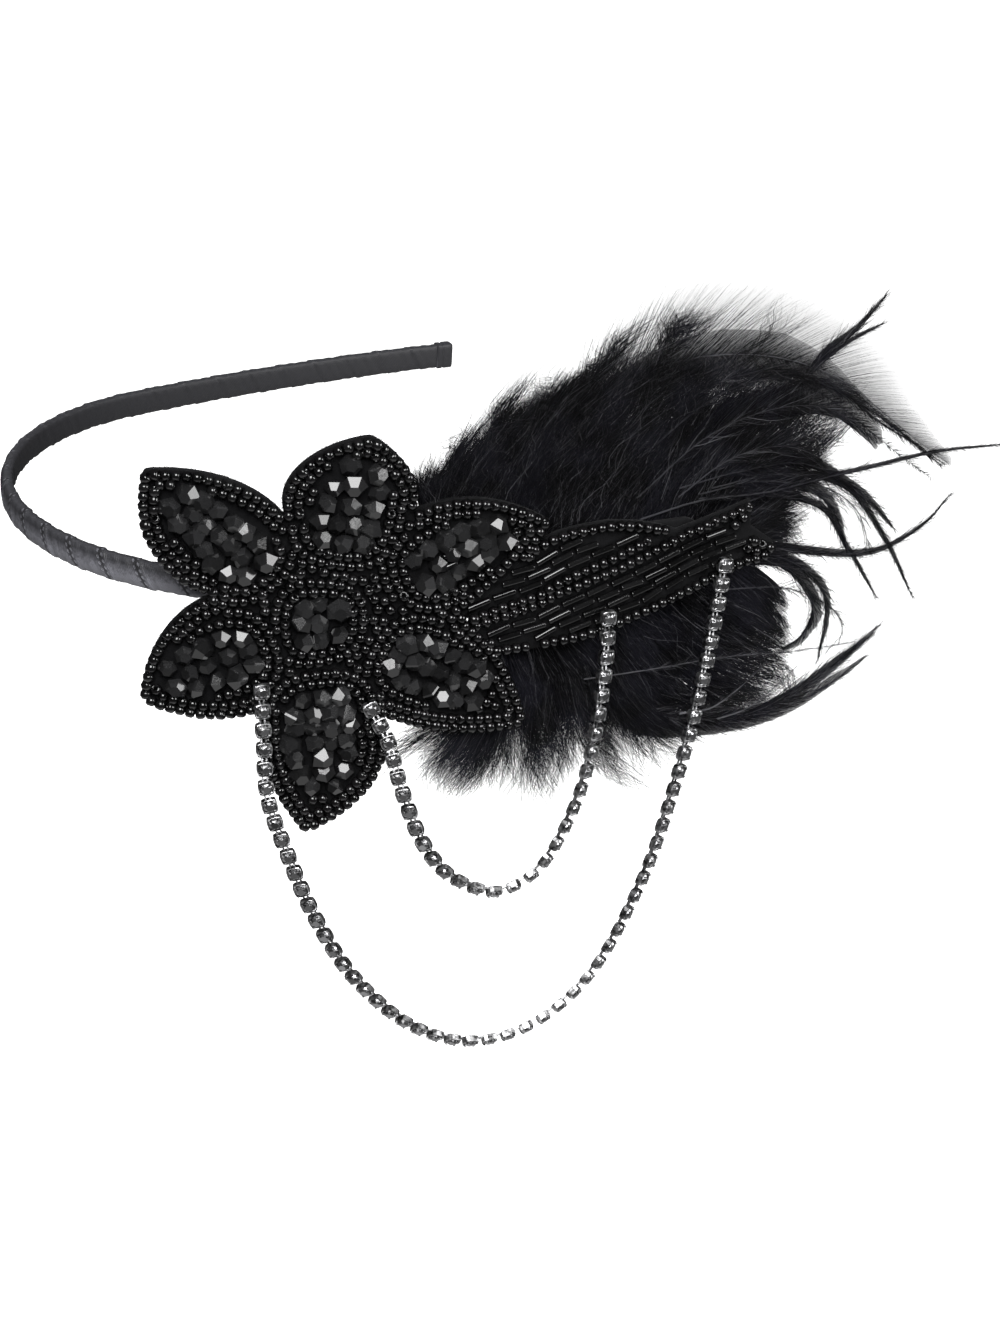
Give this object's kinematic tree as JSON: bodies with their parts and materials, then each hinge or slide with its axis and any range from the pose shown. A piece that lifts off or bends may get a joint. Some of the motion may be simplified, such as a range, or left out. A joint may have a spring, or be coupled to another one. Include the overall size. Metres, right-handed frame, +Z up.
{
  "type": "beaded feather headband",
  "caption": "Black ribbon-wound headband with a beaded felt flower and leaf, a plume of feathers behind them and two hanging rhinestone chains.",
  "frame": {"origin": "the middle of the inside face of the band's crown, where it sits on the head", "axes": "+Z up as worn across the forehead, +X from the crown into the head opening toward the band's two ends, -Y toward the arm that carries the flower"},
  "size_m": [0.2105, 0.1453, 0.1714],
  "materials": {
    "ribbon": "woven satin ribbon with a small brocade pattern",
    "felt": "fuzzy felt",
    "seed_beads": "opaque jet, polished",
    "cut_stones": "opaque jet, faceted and polished",
    "bugle_beads": "opaque jet, polished tubes",
    "cup_chain": "silver cups with smoky stones",
    "feathers": "soft, slightly glossy black feathers"
  },
  "bodies": {
    "root": {"headband": "ribbon", "ribbon_end_near": "ribbon", "ribbon_end_far": "ribbon", "flower_felt": "felt", "flower_seed_beads": "seed_beads", "petal_stones_right_upper": "cut_stones", "petal_stones_top": "cut_stones", "petal_stones_left_upper": "cut_stones", "petal_stones_left_lower": "cut_stones", "petal_stones_bottom": "cut_stones", "petal_stones_right_lower": "cut_stones", "centre_stones": "cut_stones", "leaf_felt": "felt", "leaf_seed_beads": "seed_beads", "leaf_bugles_upper": "bugle_beads", "leaf_bugles_lower": "bugle_beads", "chain_long": "cup_chain", "chain_short": "cup_chain", "plume_upper": "feathers", "plume_lower": "feathers"}
  },
  "joints": []
}
